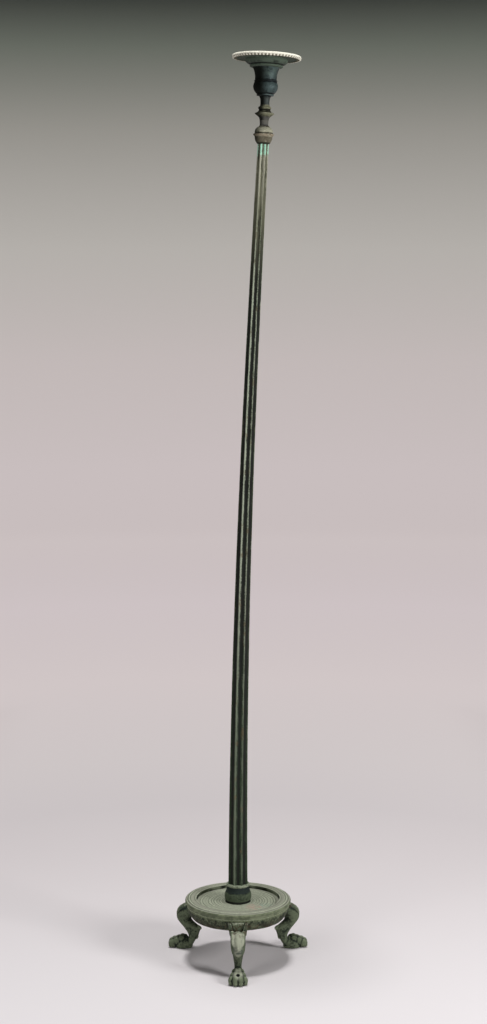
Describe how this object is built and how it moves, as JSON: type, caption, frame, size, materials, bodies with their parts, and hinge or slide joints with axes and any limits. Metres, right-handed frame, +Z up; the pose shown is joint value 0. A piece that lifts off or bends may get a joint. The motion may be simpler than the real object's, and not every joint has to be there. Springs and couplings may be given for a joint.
{
  "type": "lamp stand",
  "caption": "Bronze floor stand for an oil lamp: three lion's-paw legs, a turned disc, a tall fluted shaft and a lift-off crown that carries a small plate.",
  "frame": {"origin": "on the floor, on the axis of the base disc and the collar", "axes": "+Z up. The front leg points along -Y. The bent shaft and its crown lean towards +X."},
  "size_m": [0.2094, 0.1954, 1.3016],
  "materials": {
    "disc_bronze": "old bronze, grey-green patina",
    "leg_bronze": "old bronze, dark green patina",
    "shaft_bronze": "old bronze, dark grey-green patina",
    "crown_bronze": "old bronze, blue-grey patina",
    "plate_bronze": "old bronze, pale crust on a dark patina",
    "iron": "rusted wrought iron",
    "lead": "dull lead"
  },
  "bodies": {
    "stand": {"base_disc": "disc_bronze", "skirt": "disc_bronze", "leg_rivets": "leg_bronze", "shaft_collar": "shaft_bronze", "shaft": "shaft_bronze", "shaft_dowel": "iron", "dowel_lead": "lead", "dowel_washer": "iron", "dowel_wedge": "iron", "head_tenon": "iron", "front_leg": "leg_bronze", "right_leg": "leg_bronze", "left_leg": "leg_bronze"},
    "crown": {"crown_knop": "crown_bronze", "crown_spool": "crown_bronze", "crown_bowl": "crown_bronze", "crown_rod": "iron", "mouth_ring": "crown_bronze", "lamp_plate": "plate_bronze", "plate_rim": "plate_bronze"}
  },
  "joints": [
    {"name": "crown_lift", "type": "slide", "parent": "stand", "child": "crown", "axis": [0.0401, 0, 0.9992], "range_m": [0, 0.035]}
  ]
}
